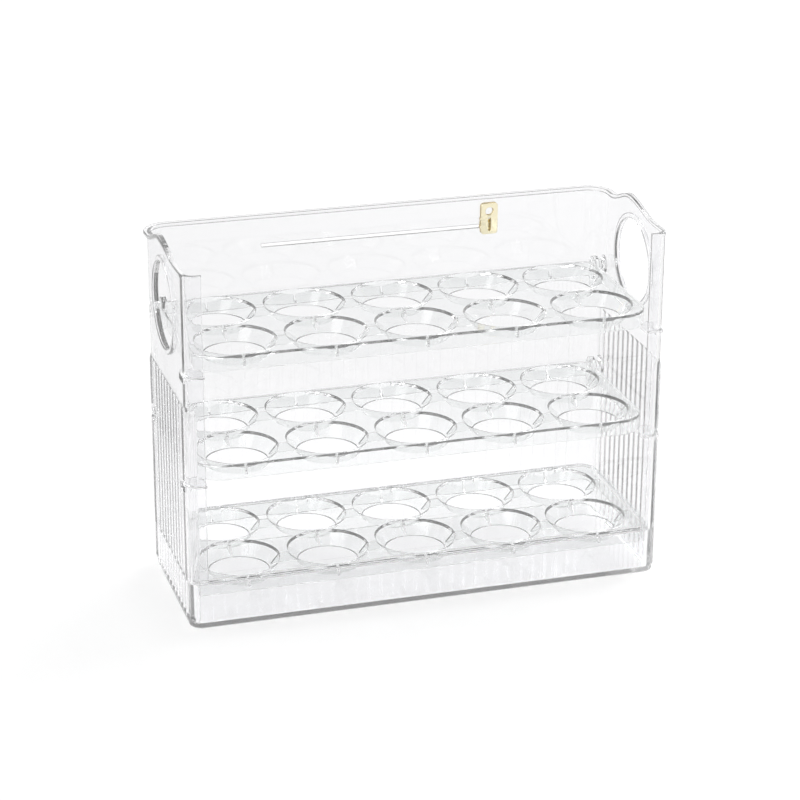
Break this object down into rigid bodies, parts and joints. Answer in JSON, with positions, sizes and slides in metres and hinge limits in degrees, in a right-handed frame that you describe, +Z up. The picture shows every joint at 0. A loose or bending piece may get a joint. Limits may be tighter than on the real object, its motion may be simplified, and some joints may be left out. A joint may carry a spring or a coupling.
{
  "type": "three-tier egg holder",
  "caption": "Clear open-fronted case with reeded walls, side handle holes, stacked trays of egg cups that tilt up on rear pivots, and a sliding date marker in a rear slot.",
  "frame": {"origin": "middle of the case's base, on the surface it stands on", "axes": "+X along the width to the right as seen from the open front, -Y out of the open front, +Z up"},
  "size_m": [0.264, 0.1, 0.2],
  "materials": {
    "case_clear": "clear, polished",
    "tray_clear": "clear, polished",
    "marker_gold": "pale gold, satin"
  },
  "bodies": {
    "case": {"case": "case_clear", "bottom_tray": "tray_clear"},
    "top_tray": {"top_tray": "tray_clear"},
    "middle_tray": {"middle_tray": "tray_clear"},
    "date_marker": {"date_marker": "marker_gold"}
  },
  "joints": [
    {"name": "top_tray_tilt", "type": "hinge", "parent": "case", "child": "top_tray", "pos_m": [0, 0.037, 0.15], "axis": [-1, 0, 0], "range_deg": [0, 96]},
    {"name": "middle_tray_tilt", "type": "hinge", "parent": "case", "child": "middle_tray", "pos_m": [0, 0.037, 0.09], "axis": [-1, 0, 0], "range_deg": [0, 75]},
    {"name": "date_marker_slide", "type": "slide", "parent": "case", "child": "date_marker", "axis": [1, 0, 0], "range_m": [-0.1246, 0]}
  ],
  "couplings": [
    {"joint": "middle_tray_tilt", "follows": "top_tray_tilt", "ratio": 0.78}
  ]
}
